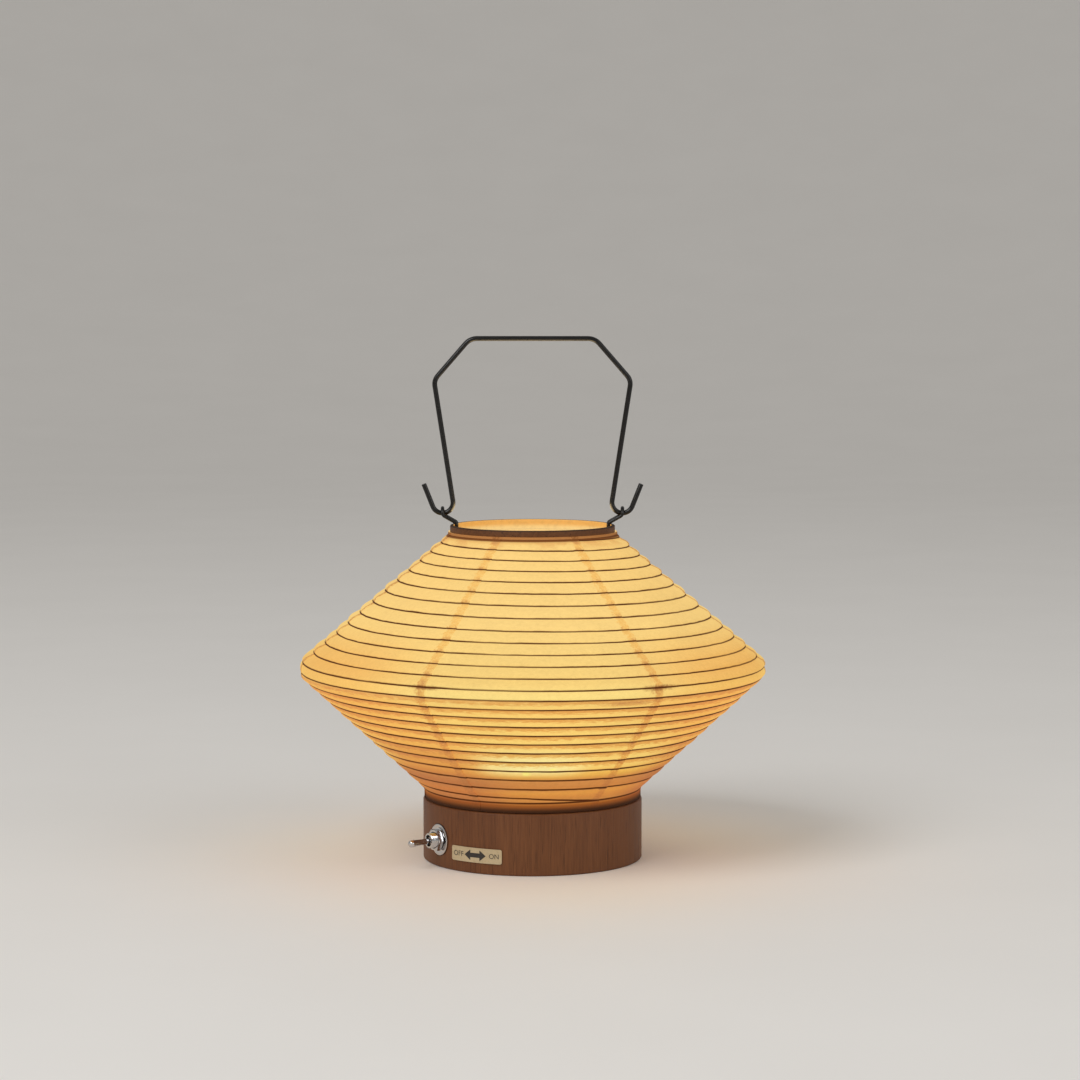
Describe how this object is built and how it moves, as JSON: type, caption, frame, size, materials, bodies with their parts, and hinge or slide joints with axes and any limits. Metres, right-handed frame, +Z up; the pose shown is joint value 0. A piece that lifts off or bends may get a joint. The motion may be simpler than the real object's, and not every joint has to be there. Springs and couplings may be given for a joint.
{
  "type": "paper lantern table lamp",
  "caption": "Battery table lamp: a double-cone paper shade on spiral ribs folds down onto a turned wooden base, with a hooked wire bail and a toggle switch.",
  "frame": {"origin": "middle of the underside of the wooden base, on the surface that the lamp stands on", "axes": "+Z up along the lamp's axis, -Y the front, +X the right side seen from the front; the bail turns about X"},
  "size_m": [0.1858, 0.1858, 0.2095],
  "materials": {
    "oiled_wood": "turned and oiled, fine grain",
    "stained_hoop": "stained, satin",
    "split_bamboo": "split and scraped, matt",
    "mulberry_paper": "thin, fibrous, translucent, lit from inside",
    "label_paper": "printed, matt",
    "black_wire": "black lacquered steel wire, satin",
    "switch_chrome": "plated, bright",
    "zinc_steel": "zinc plated",
    "terminal_brass": "tinned brass",
    "black_plastic": "moulded, matt",
    "white_plastic": "moulded, satin",
    "white_board": "solder mask, satin",
    "warm_emitter": "clear warm lens, lit",
    "plain_cell": "plain wrapped cell",
    "cover_board": "dark fibreboard, matt",
    "red_lead": "insulated wire",
    "black_lead": "insulated wire"
  },
  "bodies": {
    "base": {"base_body": "oiled_wood", "bottom_cover": "cover_board", "cover_screw_1": "zinc_steel", "cover_screw_2": "zinc_steel", "cover_screw_3": "zinc_steel", "battery_tray": "black_plastic", "battery_cell_1": "plain_cell", "battery_cell_2": "plain_cell", "battery_cell_3": "plain_cell", "battery_spring_1": "zinc_steel", "battery_spring_2": "zinc_steel", "battery_spring_3": "zinc_steel", "contact_negative": "zinc_steel", "contact_bridge_1": "zinc_steel", "contact_bridge_2": "zinc_steel", "contact_positive": "zinc_steel", "switch_body": "black_plastic", "switch_bushing": "switch_chrome", "switch_washer": "switch_chrome", "switch_nut": "switch_chrome", "switch_terminal_1": "terminal_brass", "switch_terminal_2": "terminal_brass", "switch_label": "label_paper", "light_pedestal": "white_plastic", "light_board": "white_board", "light_emitter_1": "warm_emitter", "light_emitter_2": "warm_emitter", "light_emitter_3": "warm_emitter", "light_screw_1": "zinc_steel", "light_screw_2": "zinc_steel", "lead_battery_to_switch": "red_lead", "lead_switch_to_light": "red_lead", "lead_battery_to_light": "black_lead", "bottom_hoop": "split_bamboo", "lower_rib": "split_bamboo", "upper_rib": "split_bamboo", "paper_panel_1": "mulberry_paper", "paper_panel_2": "mulberry_paper", "paper_panel_3": "mulberry_paper", "paper_panel_4": "mulberry_paper", "paper_panel_5": "mulberry_paper", "paper_panel_6": "mulberry_paper"},
    "lower_belt": {"lower_belt_hoop": "split_bamboo"},
    "upper_belt": {"upper_belt_hoop": "split_bamboo"},
    "shade_top": {"top_hoop": "stained_hoop", "eyelet_left": "black_wire", "eyelet_right": "black_wire"},
    "bail": {"bail_handle": "black_wire"},
    "lever": {"switch_lever": "switch_chrome"}
  },
  "joints": [
    {"name": "shade_fold", "type": "slide", "parent": "base", "child": "shade_top", "axis": [0, 0, -1], "range_m": [0, 0.078], "deforming": ["paper_panel_1", "paper_panel_2", "paper_panel_3", "paper_panel_4", "paper_panel_5", "paper_panel_6", "upper_rib", "lower_rib"]},
    {"name": "upper_belt_slide", "type": "slide", "parent": "base", "child": "upper_belt", "axis": [0, 0, -1], "range_m": [0, 0.04]},
    {"name": "lower_belt_slide", "type": "slide", "parent": "base", "child": "lower_belt", "axis": [0, 0, -1], "range_m": [0, 0.04]},
    {"name": "bail_swing", "type": "hinge", "parent": "shade_top", "child": "bail", "pos_m": [0, 0, 0.1388], "axis": [1, 0, 0], "range_deg": [-100, 100]},
    {"name": "switch_flip", "type": "hinge", "parent": "base", "child": "lever", "pos_m": [-0.03952, -0.02566, 0.011], "axis": [0, 0, -1], "range_deg": [0, 24]}
  ],
  "couplings": [
    {"joint": "upper_belt_slide", "follows": "shade_fold", "ratio": 0.5079},
    {"joint": "lower_belt_slide", "follows": "shade_fold", "ratio": 0.4859}
  ]
}
